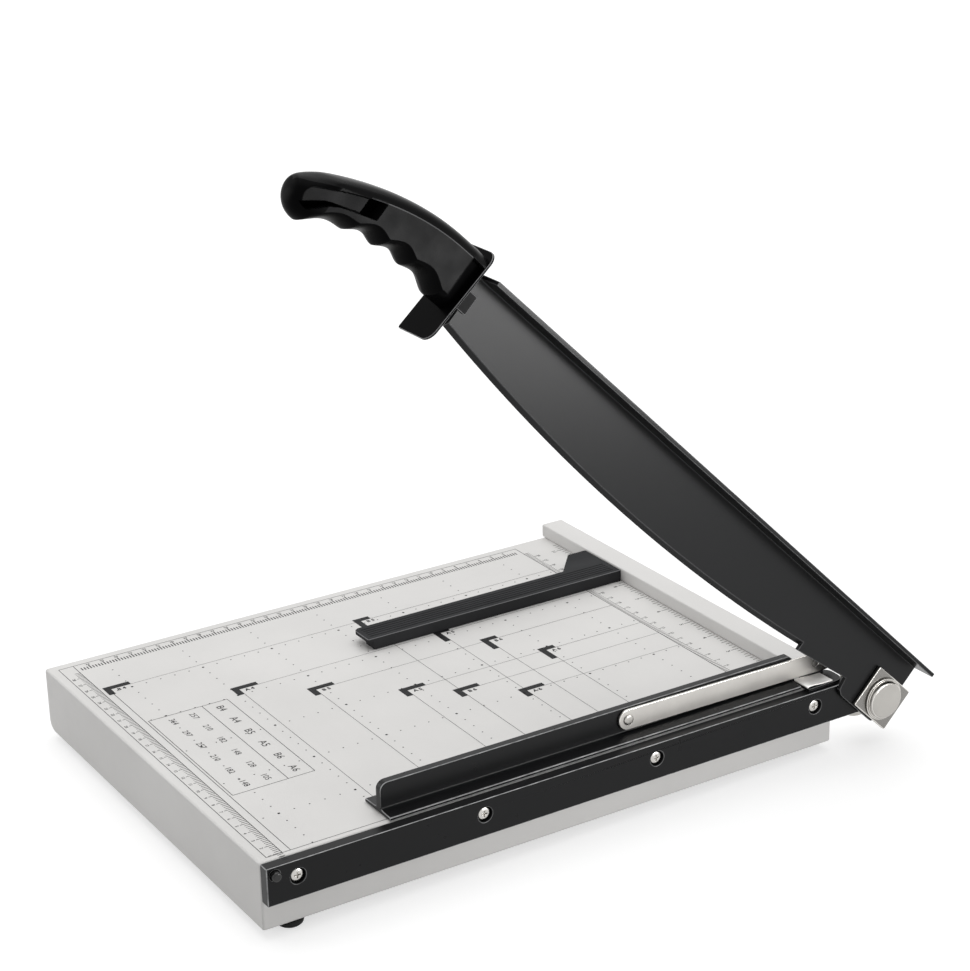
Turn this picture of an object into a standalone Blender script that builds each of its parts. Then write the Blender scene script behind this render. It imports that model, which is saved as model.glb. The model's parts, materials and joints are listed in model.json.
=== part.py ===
"""Guillotine paper cutter: table, fence, cutting rail, swinging blade arm, clamp bar and side guide."""

import math

import bmesh
import bpy
from mathutils import Matrix, Vector

# Sizes are in millimetres. X = 0 is the cutting plane, Y = 0 the fence face, Z = 0 the table top.
MM = 0.001
GAP = 0.3
CUT_PAST = 5.0
ROUND_STEPS = 32

# Table tray
TRAY_LEFT = -310.0
TRAY_FRONT = -387.0
TRAY_REAR = 18.5
TRAY_HEIGHT = 43.2
SHEET = 1.5
FOLD_RADIUS = 2.0
EDGE_ROUND = 1.2
LEFT_BEND_RADIUS = 8.0
RETURN_FLANGE = 28.0

# Cutting rail
RAIL_THICK = 7.5
RAIL_HEIGHT = 23.8
RAIL_PAST_PIVOT = 17.4
RAIL_SCREW_COUNT = 4
RAIL_SCREW_FRONT_INSET = 19.5
RAIL_SCREW_LAST_Y = -1.2
RAIL_SCREW_DROP = 10.0
SCREW_HEAD_RADIUS = 4.2
SCREW_HEAD_THICK = 2.2
SCREW_SHANK_RADIUS = 2.0
SCREW_LENGTH = 10.5
SCREW_SINK = 3.4
SCREW_BORE_EXTRA = 0.7
STOP_PIN_INSET = 5.2
STOP_PIN_DROP = 5.0
STOP_PIN_RADIUS = 3.0
STOP_PIN_PROUD = 3.6
STOP_PIN_DEPTH = 5.0

# Rear fence
FENCE_OVERHANG = 1.0
FENCE_END_CLEAR = 0.4
FENCE_DEPTH = 17.0
FENCE_HEIGHT = 9.2
FENCE_WALL = 1.5

# Pivot of the blade arm
PIVOT_Y = 48.6
PIVOT_Z = -15.6
ARM_ANGLE = 44.5
BOLT_RADIUS = 6.0
BOLT_HEAD_RADIUS = 12.4
BOLT_HEAD_THICK = 4.2
BOLT_FLANGE_RADIUS = 14.0
BOLT_FLANGE_THICK = 1.2
PIVOT_PLATE_LONG = 35.4
PIVOT_PLATE_SHORT = 29.4
PIVOT_PLATE_THICK = 2.6
PIVOT_WASHER_RADIUS = 20.4
COLLAR_RADIUS = 10.5
COLLAR_LONG = 6.0
PIVOT_WASHER_THICK = 2.5
NUT_RADIUS = 11.0
NUT_THICK = 9.5

# Blade arm, measured along the arm from the pivot (reach) and across it (rise)
ARM_THICK = 3.0
ARM_TAIL = -12.0
ARM_END = 437.0
SPINE_RISE = 31.5
SPINE_FLANGE_OUT = 20.0
SPINE_FLANGE_THICK = 2.6
EDGE_RADIUS = 1373.0
EDGE_MIDDLE = 240.0
EDGE_LOW = -17.2
EDGE_START = 84.0
EDGE_STEPS = 28
EDGE_BEVEL = 3.0
HEEL_STEP = 3.2
HEEL_STEPS = 6
HUB_START = 35.0
HUB_LOW = -15.6
HUB_CORNER = ((1.5, 2.4), (5.0, 0.4), (9.0, 0.0))
TAIL_CORNER_LONG = 6.0
TAIL_CORNER_HIGH = 5.6
TANG_LONG = 63.0
TANG_LOW = 10.0
TANG_HIGH = 26.0

# Handle, measured along the arm from the guard
GUARD_CLEAR = 4.0
GUARD_THICK = 1.5
GUARD_NEAR = 3.25
GUARD_LEAN = 0.066
GUARD_INNER = -19.0
GUARD_OUTER = 12.0
GUARD_LOW = -16.2
GUARD_HIGH = 43.0
GUARD_ROUND = 7.0
TAB_LONG = 8.8
TAB_IN_GUARD = 3.0
TAB_LOW = 8.3
TAB_HIGH = 20.0
TAB_THICK = 1.2
GRIP_CENTRE = 1.0
GRIP_HALF_WIDTH = 12.5
GRIP_TOP = 39.3
GRIP_TOP_FROM = 21.0
GRIP_TOP_BOW = 0.0030
GRIP_BUTT_FROM = 110.0
GRIP_BUTT_LONG = 9.9
GRIP_BUTT_DROP = 1.2
GRIP_LOBES = (
    (18.0, 2.8),
    (41.6, 6.0),
    (61.7, 4.4),
    (82.0, 0.3),
    (107.2, -11.8),
)
SCALLOP_DEPTH = 3.5
SCALLOP_POWER = 1.15
GRIP_RING = 24
GRIP_STATIONS = 44
BUTT_STATIONS = 7
BUTT_TURN = 82.0
POCKET_FROM = 74.0
POCKET_TO = 116.0
POCKET_UPPER = 6.8
POCKET_LOWER = 17.0
POCKET_DEPTH = 1.6
POCKET_SLOT_LONG = 10.0
POCKET_SLOT_DEPTH = 6.0

# Clamp bar, its link and bracket
CLAMP_FRONT = -304.0
CLAMP_REAR = -6.4
CLAMP_LEFT = -36.5
CLAMP_RIGHT = -8.0
CLAMP_FLANGE = 2.2
CLAMP_LIFT = 0.4
CLAMP_TOP = 19.6
WEB_LEFT = -23.5
WEB_RIGHT = -18.3
WEB_REAR = -3.4
WEB_ROUND = 5.0
LINK_WIDTH = 13.4
LINK_THICK = 1.8
LINK_PAST_PIN = 8.0
RIVET_Y = -133.0
RIVET_Z = 12.0
LINK_PIN_Y = 11.6
LINK_PIN_Z = 10.6
RIVET_RADIUS = 2.2
RIVET_HEAD_RADIUS = 3.4
RIVET_HEAD_THICK = 1.1
BRACKET_LEFT = -29.6
BRACKET_RIGHT = -2.6
BRACKET_FRONT = -4.6
BRACKET_REAR = 24.0
BRACKET_SHEET = 1.8
EAR_THICK = 2.6
EAR_FRONT = 3.0
EAR_REAR = 20.0
EAR_TOP = 16.4
LEAF_CLEAR = 0.4
LEAF_RIGHT = -2.8
LEAF_FRONT = -5.6
LEAF_REAR = 14.6
LEAF_THICK = 0.8

# Side guide
GUIDE_AT = -213.5
GUIDE_RIGHT = 1.5
GUIDE_LEFT = -18.8
GUIDE_HEAD_LEFT = -42.0
GUIDE_FRONT = -201.5
GUIDE_HEIGHT = 8.0
GUIDE_PLATE = 2.3
GUIDE_RIB_WIDTH = 11.0
GUIDE_RIB_SETBACK = 4.4
GUIDE_HEAD_LONG = 34.5
GROOVE_COUNT = 5
GROOVE_WIDTH = 1.2
GROOVE_PITCH = 2.9
GROOVE_DEPTH = 0.45

# Feet
FOOT_RADIUS = 8.5
FOOT_HEIGHT = 5.0
FOOT_INSET_X = 9.2
REAR_FOOT_INSET_X = 20.0
FOOT_INSET_Y = 21.0
FOOT_SCREW_RADIUS = 1.8
FOOT_SCREW_HEAD = 3.6

# Places that follow from the sizes above
TRAY_RIGHT = -RAIL_THICK - GAP
RAIL_REAR = PIVOT_Y + RAIL_PAST_PIVOT
RAIL_SCREW_FIRST_Y = TRAY_FRONT + RAIL_SCREW_FRONT_INSET
STOP_PIN_Y = TRAY_FRONT + STOP_PIN_INSET
FENCE_LEFT = TRAY_LEFT - FENCE_OVERHANG
FENCE_RIGHT = BRACKET_LEFT - FENCE_END_CLEAR
TANG_END = ARM_END + TANG_LONG
GUARD_REACH = ARM_END + GUARD_CLEAR
LEAF_LEFT = WEB_RIGHT + GAP + LINK_THICK + LEAF_CLEAR


for item in list(bpy.data.objects):
    bpy.data.objects.remove(item, do_unlink=True)

parts = bpy.data.collections.new("paper_cutter")
cutters = bpy.data.collections.new("cutters")
bpy.context.scene.collection.children.link(parts)
bpy.context.scene.collection.children.link(cutters)


def material(name, colour, roughness, metallic):
    made = bpy.data.materials.new(name)
    made.use_nodes = True
    shader = made.node_tree.nodes["Principled BSDF"]
    shader.inputs["Base Color"].default_value = (*colour, 1.0)
    shader.inputs["Roughness"].default_value = roughness
    shader.inputs["Metallic"].default_value = metallic
    return made


PAINT = material("light_grey_paint", (0.72, 0.72, 0.70), 0.45, 0.0)
BLACK_STEEL = material("black_painted_steel", (0.02, 0.02, 0.022), 0.4, 0.0)
NICKEL = material("nickel_plate", (0.70, 0.68, 0.64), 0.25, 1.0)
PLASTIC = material("black_plastic", (0.022, 0.022, 0.024), 0.5, 0.0)
RUBBER = material("black_rubber", (0.015, 0.015, 0.015), 0.85, 0.0)


def empty(name, parent, place):
    made = bpy.data.objects.new(name, None)
    parts.objects.link(made)
    made.parent = parent
    made.location = Vector(place) * MM
    return made


def solid(name, shape, parent, finish):
    """Turns a shape in millimetres into a named object under its parent."""
    bmesh.ops.recalc_face_normals(shape, faces=shape.faces)
    mesh = bpy.data.meshes.new(name)
    shape.to_mesh(mesh)
    shape.free()
    mesh.transform(Matrix.Scale(MM, 4))
    made = bpy.data.objects.new(name, mesh)
    made.parent = parent
    if finish is None:
        cutters.objects.link(made)
        made.hide_render = True
        made.display_type = "WIRE"
    else:
        parts.objects.link(made)
        mesh.materials.append(finish)
    return made


def combine(body, shape, operation):
    """Cuts a shape from a body, or joins it on, in the body's own frame."""
    tool = solid(body.name + "_tool_%d" % len(body.modifiers), shape, body.parent, None)
    step = body.modifiers.new("step_%d" % len(body.modifiers), "BOOLEAN")
    step.operation = operation
    step.solver = "EXACT"
    step.object = tool


def cut(body, shape):
    combine(body, shape, "DIFFERENCE")


def join(body, shape):
    combine(body, shape, "UNION")


def shade_smooth(body, angle=35.0):
    for face in body.data.polygons:
        face.use_smooth = True
    body.data.set_sharp_from_angle(angle=math.radians(angle))


def prism(outline, axis, start, end):
    """Extrudes an outline along an axis. The outline lists the two other coordinates in X, Y, Z order."""
    shape = bmesh.new()
    corners = []
    for first, second in outline:
        place = [first, second]
        place.insert(axis, start)
        corners.append(shape.verts.new(place))
    face = shape.faces.new(corners)
    grown = bmesh.ops.extrude_face_region(shape, geom=[face])
    moved = [item for item in grown["geom"] if isinstance(item, bmesh.types.BMVert)]
    step = [0.0, 0.0, 0.0]
    step[axis] = end - start
    bmesh.ops.translate(shape, verts=moved, vec=step)
    return shape


def box(x_range, y_range, z_range):
    outline = (
        (y_range[0], z_range[0]),
        (y_range[1], z_range[0]),
        (y_range[1], z_range[1]),
        (y_range[0], z_range[1]),
    )
    return prism(outline, 0, x_range[0], x_range[1])


def rounded(corners, steps=5):
    """Outline with each corner (first, second, radius) replaced by an arc of that radius."""
    points = []
    count = len(corners)
    for index, (first, second, radius) in enumerate(corners):
        here = Vector((first, second))
        if radius <= 0.0:
            points.append(here)
            continue
        before = (Vector(corners[index - 1][:2]) - here).normalized()
        after = (Vector(corners[(index + 1) % count][:2]) - here).normalized()
        half = before.angle(after) / 2.0
        reach = radius / math.tan(half)
        centre = here + (before + after).normalized() * (radius / math.sin(half))
        start = here + before * reach - centre
        end = here + after * reach - centre
        sweep = start.angle_signed(end)
        for step in range(steps + 1):
            turn = Matrix.Rotation(-sweep * step / steps, 2)
            points.append(centre + turn @ start)
    return [tuple(point) for point in points]


def turned(profile, axis, centre, steps=ROUND_STEPS):
    """Turns a profile of (radius, along) points about an axis, with flat ends where it meets the axis."""
    shape = bmesh.new()
    rings = []
    for radius, along in profile:
        if radius <= 0.0:
            continue
        ring = []
        for step in range(steps):
            turn = math.tau * (step + 0.5) / steps
            place = [0.0, 0.0, 0.0]
            place[axis] = along
            place[(axis + 1) % 3] = radius * math.cos(turn)
            place[(axis + 2) % 3] = radius * math.sin(turn)
            ring.append(shape.verts.new(Vector(centre) + Vector(place)))
        rings.append(ring)
    pairs = list(zip(rings, rings[1:]))
    if profile[0][0] > 0.0:
        pairs.append((rings[-1], rings[0]))
    else:
        shape.faces.new(rings[0])
        shape.faces.new(rings[-1])
    for near, far in pairs:
        for step in range(steps):
            after = (step + 1) % steps
            shape.faces.new((near[step], near[after], far[after], far[step]))
    return shape


def rod(radius, axis, centre, start, end, steps=ROUND_STEPS):
    return turned(((0.0, end), (radius, end), (radius, start), (0.0, start)), axis, centre, steps)


root = empty("cutter_root", None, (0.0, 0.0, 0.0))
arm_hinge = empty("arm_hinge", root, (0.0, PIVOT_Y, PIVOT_Z))
arm_hinge.rotation_euler = (-math.radians(ARM_ANGLE), 0.0, 0.0)
clamp_hinge = empty("clamp_hinge", root, (0.0, LINK_PIN_Y, LINK_PIN_Z))
guide_slide = empty("guide_slide", root, (GUIDE_AT, 0.0, 0.0))


# Table tray
def tray_section(inset):
    fold = FOLD_RADIUS - inset if FOLD_RADIUS > inset else 0.0
    return rounded(
        (
            (TRAY_LEFT + inset, -inset, fold),
            (TRAY_LEFT + inset, -TRAY_HEIGHT + inset, LEFT_BEND_RADIUS - inset),
            (TRAY_RIGHT - inset, -TRAY_HEIGHT + inset, fold),
            (TRAY_RIGHT - inset, -inset, fold),
        )
    )


def foot_places():
    rows = (
        (TRAY_FRONT + FOOT_INSET_Y, FOOT_INSET_X),
        (TRAY_REAR - FOOT_INSET_Y, REAR_FOOT_INSET_X),
    )
    for y, inset in rows:
        yield TRAY_LEFT + inset, y
        yield TRAY_RIGHT - inset, y


def rail_screw_places():
    pitch = (RAIL_SCREW_LAST_Y - RAIL_SCREW_FIRST_Y) / (RAIL_SCREW_COUNT - 1)
    for index in range(RAIL_SCREW_COUNT):
        yield RAIL_SCREW_FIRST_Y + index * pitch


base_pan = solid("base_pan", prism(tray_section(0.0), 1, TRAY_FRONT, TRAY_REAR), root, PAINT)
edges = base_pan.modifiers.new("edges", "BEVEL")
edges.width = EDGE_ROUND * MM
edges.segments = 2
edges.limit_method = "ANGLE"
edges.angle_limit = math.radians(50.0)
cut(base_pan, prism(tray_section(SHEET), 1, TRAY_FRONT + SHEET, TRAY_REAR - SHEET))
cut(
    base_pan,
    box(
        (TRAY_LEFT + RETURN_FLANGE, TRAY_RIGHT - RETURN_FLANGE),
        (TRAY_FRONT + RETURN_FLANGE, TRAY_REAR - RETURN_FLANGE),
        (-TRAY_HEIGHT - CUT_PAST, -TRAY_HEIGHT + SHEET + CUT_PAST),
    ),
)
for y in rail_screw_places():
    hole = (TRAY_RIGHT, y, -RAIL_SCREW_DROP)
    cut(base_pan, rod(SCREW_SHANK_RADIUS + GAP, 0, hole, -SHEET - CUT_PAST, CUT_PAST, 16))
for x, y in foot_places():
    hole = (x, y, -TRAY_HEIGHT)
    cut(base_pan, rod(FOOT_SCREW_RADIUS + GAP, 2, hole, -CUT_PAST, SHEET + CUT_PAST, 16))

# Rear fence
fence_section = rounded(
    (
        (0.0, GAP, 0.0),
        (0.0, GAP + FENCE_HEIGHT, 1.0),
        (FENCE_DEPTH, GAP + FENCE_HEIGHT, 1.0),
        (FENCE_DEPTH, GAP, 0.0),
        (FENCE_DEPTH - FENCE_WALL, GAP, 0.0),
        (FENCE_DEPTH - FENCE_WALL, GAP + FENCE_HEIGHT - FENCE_WALL, 0.0),
        (FENCE_WALL, GAP + FENCE_HEIGHT - FENCE_WALL, 0.0),
        (FENCE_WALL, GAP, 0.0),
    ),
    3,
)
solid("rear_fence", prism(fence_section, 0, FENCE_LEFT, FENCE_RIGHT), root, PAINT)

# Cutting rail with sunk screws and the stop pin
rail_shape = box((-RAIL_THICK, 0.0), (TRAY_FRONT, RAIL_REAR), (-RAIL_HEIGHT, 0.0))
rail = solid("cutting_rail", rail_shape, root, BLACK_STEEL)
for index, y in enumerate(rail_screw_places()):
    seat = (-SCREW_SINK, y, -RAIL_SCREW_DROP)
    bore = (
        (0.0, SCREW_SINK + CUT_PAST),
        (SCREW_HEAD_RADIUS + SCREW_BORE_EXTRA, SCREW_SINK + CUT_PAST),
        (SCREW_HEAD_RADIUS + SCREW_BORE_EXTRA, 0.0),
        (SCREW_SHANK_RADIUS + GAP, 0.0),
        (SCREW_SHANK_RADIUS + GAP, -RAIL_THICK),
        (0.0, -RAIL_THICK),
    )
    cut(rail, turned(bore, 0, seat, 20))
    profile = (
        (0.0, GAP + SCREW_HEAD_THICK),
        (SCREW_HEAD_RADIUS * 0.55, GAP + SCREW_HEAD_THICK * 0.95),
        (SCREW_HEAD_RADIUS * 0.88, GAP + SCREW_HEAD_THICK * 0.72),
        (SCREW_HEAD_RADIUS, GAP + SCREW_HEAD_THICK * 0.4),
        (SCREW_HEAD_RADIUS, GAP),
        (SCREW_SHANK_RADIUS, GAP),
        (SCREW_SHANK_RADIUS, GAP - SCREW_LENGTH),
        (0.0, GAP - SCREW_LENGTH),
    )
    screw = solid("rail_screw_%d" % (index + 1), turned(profile, 0, seat, 20), root, NICKEL)
    shade_smooth(screw)
    slot_from = seat[0] + GAP + SCREW_HEAD_THICK * 0.35
    for wide, tall in ((2.0, 0.45), (0.45, 2.0)):
        cut(
            screw,
            box((slot_from, CUT_PAST), (y - wide, y + wide), (seat[2] - tall, seat[2] + tall)),
        )
pin_seat = (0.0, STOP_PIN_Y, -STOP_PIN_DROP)
cut(rail, rod(STOP_PIN_RADIUS + GAP, 0, pin_seat, -STOP_PIN_DEPTH - GAP, CUT_PAST, 24))
cut(rail, rod(BOLT_RADIUS + GAP, 0, (0.0, PIVOT_Y, PIVOT_Z), -RAIL_THICK - CUT_PAST, CUT_PAST))
pin_profile = (
    (0.0, STOP_PIN_PROUD),
    (STOP_PIN_RADIUS - 0.8, STOP_PIN_PROUD),
    (STOP_PIN_RADIUS, STOP_PIN_PROUD - 0.8),
    (STOP_PIN_RADIUS, -STOP_PIN_DEPTH),
    (0.0, -STOP_PIN_DEPTH),
)
shade_smooth(solid("stop_pin", turned(pin_profile, 0, pin_seat, 24), root, RUBBER))


# Blade arm
def edge_rise(reach):
    return EDGE_LOW + (reach - EDGE_MIDDLE) ** 2 / (2.0 * EDGE_RADIUS)


def arm_outline():
    points = [(ARM_TAIL, SPINE_RISE), (ARM_END, SPINE_RISE), (ARM_END, TANG_HIGH)]
    points += [(TANG_END, TANG_HIGH), (TANG_END, TANG_LOW), (ARM_END, TANG_LOW)]
    for step in range(EDGE_STEPS + 1):
        reach = ARM_END + (EDGE_START - ARM_END) * step / EDGE_STEPS
        points.append((reach, edge_rise(reach)))
    for step in range(HEEL_STEPS + 1):
        reach = EDGE_START + (HUB_START - EDGE_START) * step / HEEL_STEPS
        points.append((reach, edge_rise(reach) - HEEL_STEP))
    points += [(HUB_START - back, HUB_LOW + up) for back, up in HUB_CORNER]
    points += [(ARM_TAIL + TAIL_CORNER_LONG, HUB_LOW), (ARM_TAIL, HUB_LOW + TAIL_CORNER_HIGH)]
    return [(-reach, rise) for reach, rise in points]


arm_shape = prism(arm_outline(), 0, GAP, GAP + ARM_THICK)
for vert in arm_shape.verts:
    on_edge = EDGE_START - 0.01 <= -vert.co.y <= ARM_END and abs(vert.co.z - edge_rise(-vert.co.y)) < 0.01
    if on_edge and vert.co.x > GAP + 0.1:
        vert.co.z += EDGE_BEVEL
blade_arm = solid("blade_arm", arm_shape, arm_hinge, BLACK_STEEL)
join(
    blade_arm,
    box(
        (GAP, SPINE_FLANGE_OUT),
        (-ARM_END, -ARM_TAIL),
        (SPINE_RISE - SPINE_FLANGE_THICK, SPINE_RISE),
    ),
)
bolt_hole_from = -CUT_PAST
bolt_hole_to = GAP + ARM_THICK + GAP + PIVOT_PLATE_THICK + CUT_PAST
cut(blade_arm, rod(BOLT_RADIUS + GAP, 0, (0.0, 0.0, 0.0), bolt_hole_from, bolt_hole_to))

# Pivot hardware, outside to inside
plate_from = GAP + ARM_THICK + GAP
plate_outline = rounded(
    (
        (-PIVOT_PLATE_LONG / 2, -PIVOT_PLATE_SHORT / 2, 1.0),
        (PIVOT_PLATE_LONG / 2, -PIVOT_PLATE_SHORT / 2, 1.0),
        (PIVOT_PLATE_LONG / 2, PIVOT_PLATE_SHORT / 2, 1.0),
        (-PIVOT_PLATE_LONG / 2, PIVOT_PLATE_SHORT / 2, 1.0),
    ),
    3,
)
plate_shape = prism(plate_outline, 0, plate_from, plate_from + PIVOT_PLATE_THICK)
pivot_plate = solid("pivot_plate", plate_shape, arm_hinge, NICKEL)
cut(pivot_plate, rod(BOLT_RADIUS + GAP, 0, (0.0, 0.0, 0.0), bolt_hole_from, bolt_hole_to))
head_from = plate_from + PIVOT_PLATE_THICK + GAP
collar_out = -RAIL_THICK - GAP
washer_out = collar_out - COLLAR_LONG - GAP
nut_out = washer_out - PIVOT_WASHER_THICK - GAP
bolt_end = nut_out - NUT_THICK - 2.5
bolt_profile = (
    (0.0, head_from + BOLT_HEAD_THICK),
    (BOLT_HEAD_RADIUS - 1.6, head_from + BOLT_HEAD_THICK),
    (BOLT_HEAD_RADIUS - 0.5, head_from + BOLT_HEAD_THICK - 0.5),
    (BOLT_HEAD_RADIUS, head_from + BOLT_HEAD_THICK - 1.6),
    (BOLT_HEAD_RADIUS, head_from + BOLT_FLANGE_THICK),
    (BOLT_FLANGE_RADIUS, head_from + BOLT_FLANGE_THICK),
    (BOLT_FLANGE_RADIUS, head_from),
    (BOLT_RADIUS, head_from),
    (BOLT_RADIUS, bolt_end + 0.8),
    (BOLT_RADIUS - 0.8, bolt_end),
    (0.0, bolt_end),
)
shade_smooth(solid("pivot_bolt", turned(bolt_profile, 0, (0.0, 0.0, 0.0), 40), arm_hinge, NICKEL))
washer_profile = (
    (BOLT_RADIUS + GAP, 0.0),
    (PIVOT_WASHER_RADIUS - 0.6, 0.0),
    (PIVOT_WASHER_RADIUS, -0.6),
    (PIVOT_WASHER_RADIUS, -PIVOT_WASHER_THICK + 0.6),
    (PIVOT_WASHER_RADIUS - 0.6, -PIVOT_WASHER_THICK),
    (BOLT_RADIUS + GAP, -PIVOT_WASHER_THICK),
)
shade_smooth(
    solid("pivot_washer", turned(washer_profile, 0, (washer_out, PIVOT_Y, PIVOT_Z), 40), root, NICKEL)
)
collar_profile = (
    (BOLT_RADIUS + GAP, 0.0),
    (COLLAR_RADIUS, 0.0),
    (COLLAR_RADIUS, -COLLAR_LONG),
    (BOLT_RADIUS + GAP, -COLLAR_LONG),
)
shade_smooth(
    solid("pivot_collar", turned(collar_profile, 0, (collar_out, PIVOT_Y, PIVOT_Z), 32), root, NICKEL)
)
nut_at = (nut_out, 0.0, 0.0)
pivot_nut = solid("pivot_nut", rod(NUT_RADIUS, 0, nut_at, -NUT_THICK, 0.0, 6), arm_hinge, NICKEL)
cut(pivot_nut, rod(BOLT_RADIUS + GAP, 0, nut_at, -NUT_THICK - CUT_PAST, CUT_PAST))


# Handle
def grip_top(along):
    return GRIP_TOP - GRIP_TOP_BOW * max(0.0, along - GRIP_TOP_FROM) ** 2


def grip_bottom(along):
    for (near, near_rise), (far, far_rise) in zip(GRIP_LOBES, GRIP_LOBES[1:]):
        if near <= along <= far:
            part = (along - near) / (far - near)
            hollow = SCALLOP_DEPTH * math.sin(math.pi * part) ** SCALLOP_POWER
            return near_rise + (far_rise - near_rise) * part + hollow
    return GRIP_LOBES[-1][1]


def grip_stations():
    """Yields reach, middle rise, half height and half width from the guard to the butt."""
    start = GUARD_NEAR + GUARD_THICK / 2
    for step in range(GRIP_STATIONS + 1):
        along = start + (GRIP_BUTT_FROM - start) * step / GRIP_STATIONS
        top = grip_top(along)
        low = grip_bottom(max(along, GRIP_LOBES[0][0]))
        yield GUARD_REACH + along, (top + low) / 2, (top - low) / 2, GRIP_HALF_WIDTH
    top = grip_top(GRIP_BUTT_FROM)
    low = grip_bottom(GRIP_BUTT_FROM)
    for step in range(1, BUTT_STATIONS + 1):
        turn = math.radians(BUTT_TURN) * step / BUTT_STATIONS
        shrink = math.cos(turn)
        along = GRIP_BUTT_FROM + GRIP_BUTT_LONG * math.sin(turn)
        middle = (top + low) / 2 - GRIP_BUTT_DROP * math.sin(turn) ** 2
        yield GUARD_REACH + along, middle, (top - low) / 2 * shrink, GRIP_HALF_WIDTH * math.sqrt(shrink)


def lean(verts):
    """Tilts points near the guard to its slant."""
    for vert in verts:
        vert.co.y += GUARD_LEAN * vert.co.z


def grip_shape():
    shape = bmesh.new()
    rings = []
    for reach, middle, tall, wide in grip_stations():
        ring = []
        for index in range(GRIP_RING):
            turn = math.tau * (index + 0.5) / GRIP_RING
            side = math.copysign(abs(math.cos(turn)) ** 0.55, math.cos(turn))
            rise = math.copysign(abs(math.sin(turn)) ** 0.55, math.sin(turn))
            ring.append(shape.verts.new((GRIP_CENTRE + wide * side, -reach, middle + tall * rise)))
        rings.append(ring)
    lean(rings[0])
    for near, far in zip(rings, rings[1:]):
        for index in range(GRIP_RING):
            after = (index + 1) % GRIP_RING
            shape.faces.new((near[index], near[after], far[after], far[index]))
    shape.faces.new(rings[0])
    shape.faces.new(rings[-1])
    return shape


def pocket_outline(start, end):
    count = 10
    places = [start + (end - start) * step / count for step in range(count + 1)]
    upper = [(-GUARD_REACH - along, grip_top(along) - POCKET_UPPER) for along in places]
    lower = [(-GUARD_REACH - along, grip_top(along) - POCKET_LOWER) for along in reversed(places)]
    return upper + lower


handle = solid("handle", grip_shape(), arm_hinge, PLASTIC)
shade_smooth(handle, 50.0)
guard_outline = rounded(
    (
        (GUARD_INNER, GUARD_LOW, 1.5),
        (GUARD_OUTER, GUARD_LOW, GUARD_ROUND),
        (GUARD_OUTER, GUARD_HIGH, GUARD_ROUND),
        (GUARD_INNER, GUARD_HIGH, 1.5),
    )
)
guard_y = -GUARD_REACH - GUARD_NEAR
guard = prism(guard_outline, 1, guard_y - GUARD_THICK, guard_y)
lean(guard.verts)
join(handle, guard)
tab_from = GAP + ARM_THICK + GAP
join(
    handle,
    box(
        (tab_from, tab_from + TAB_THICK),
        (-GUARD_REACH - TAB_IN_GUARD, -GUARD_REACH + TAB_LONG),
        (TAB_LOW, TAB_HIGH),
    ),
)
cut(
    handle,
    box(
        (0.0, GAP + ARM_THICK + GAP),
        (-TANG_END - GAP, -GUARD_REACH + CUT_PAST),
        (TANG_LOW - GAP, TANG_HIGH + GAP),
    ),
)
side_face = GRIP_CENTRE + GRIP_HALF_WIDTH
pocket = pocket_outline(POCKET_FROM, POCKET_TO)
cut(handle, prism(pocket, 0, side_face - POCKET_DEPTH, side_face + CUT_PAST))
cut(
    handle,
    prism(
        pocket_outline(POCKET_FROM, POCKET_FROM + POCKET_SLOT_LONG),
        0,
        side_face - POCKET_SLOT_DEPTH,
        side_face + CUT_PAST - 1.0,
    ),
)

# Clamp bar, in the frame of its hinge
def from_hinge(y, z):
    return y - LINK_PIN_Y, z - LINK_PIN_Z


bar_low = CLAMP_LIFT - LINK_PIN_Z
web_foot = bar_low + CLAMP_FLANGE
flange_section = (
    (CLAMP_LEFT, bar_low),
    (CLAMP_RIGHT, bar_low),
    (CLAMP_RIGHT, web_foot - 0.4),
    (CLAMP_RIGHT - 0.6, web_foot),
    (WEB_RIGHT + 2.5, web_foot + 0.3),
    (WEB_RIGHT + 0.6, web_foot + 0.9),
    (WEB_RIGHT - 1.0, web_foot + 1.2),
    (WEB_LEFT + 1.0, web_foot + 1.2),
    (WEB_LEFT - 2.5, web_foot + 0.3),
    (CLAMP_LEFT + 0.6, web_foot),
    (CLAMP_LEFT, web_foot - 0.4),
)
clamp_bar = solid(
    "clamp_bar",
    prism(flange_section, 1, CLAMP_FRONT - LINK_PIN_Y, CLAMP_REAR - LINK_PIN_Y),
    clamp_hinge,
    BLACK_STEEL,
)
web_corners = (
    (CLAMP_FRONT + 0.02, CLAMP_LIFT + 0.2, 0.0),
    (CLAMP_FRONT + 0.02, CLAMP_TOP, WEB_ROUND),
    (WEB_REAR - 5.0, CLAMP_TOP, 2.0),
    (WEB_REAR, CLAMP_TOP - 4.5, 1.5),
    (WEB_REAR, CLAMP_LIFT + 0.2, 0.0),
)
web_outline = rounded([(*from_hinge(y, z), radius) for y, z, radius in web_corners])
join(clamp_bar, prism(web_outline, 0, WEB_LEFT, WEB_RIGHT))
rivet_at = (WEB_RIGHT, *from_hinge(RIVET_Y, RIVET_Z))
cut(clamp_bar, rod(RIVET_RADIUS + GAP, 0, rivet_at, WEB_LEFT - WEB_RIGHT - CUT_PAST, CUT_PAST, 20))

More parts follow.
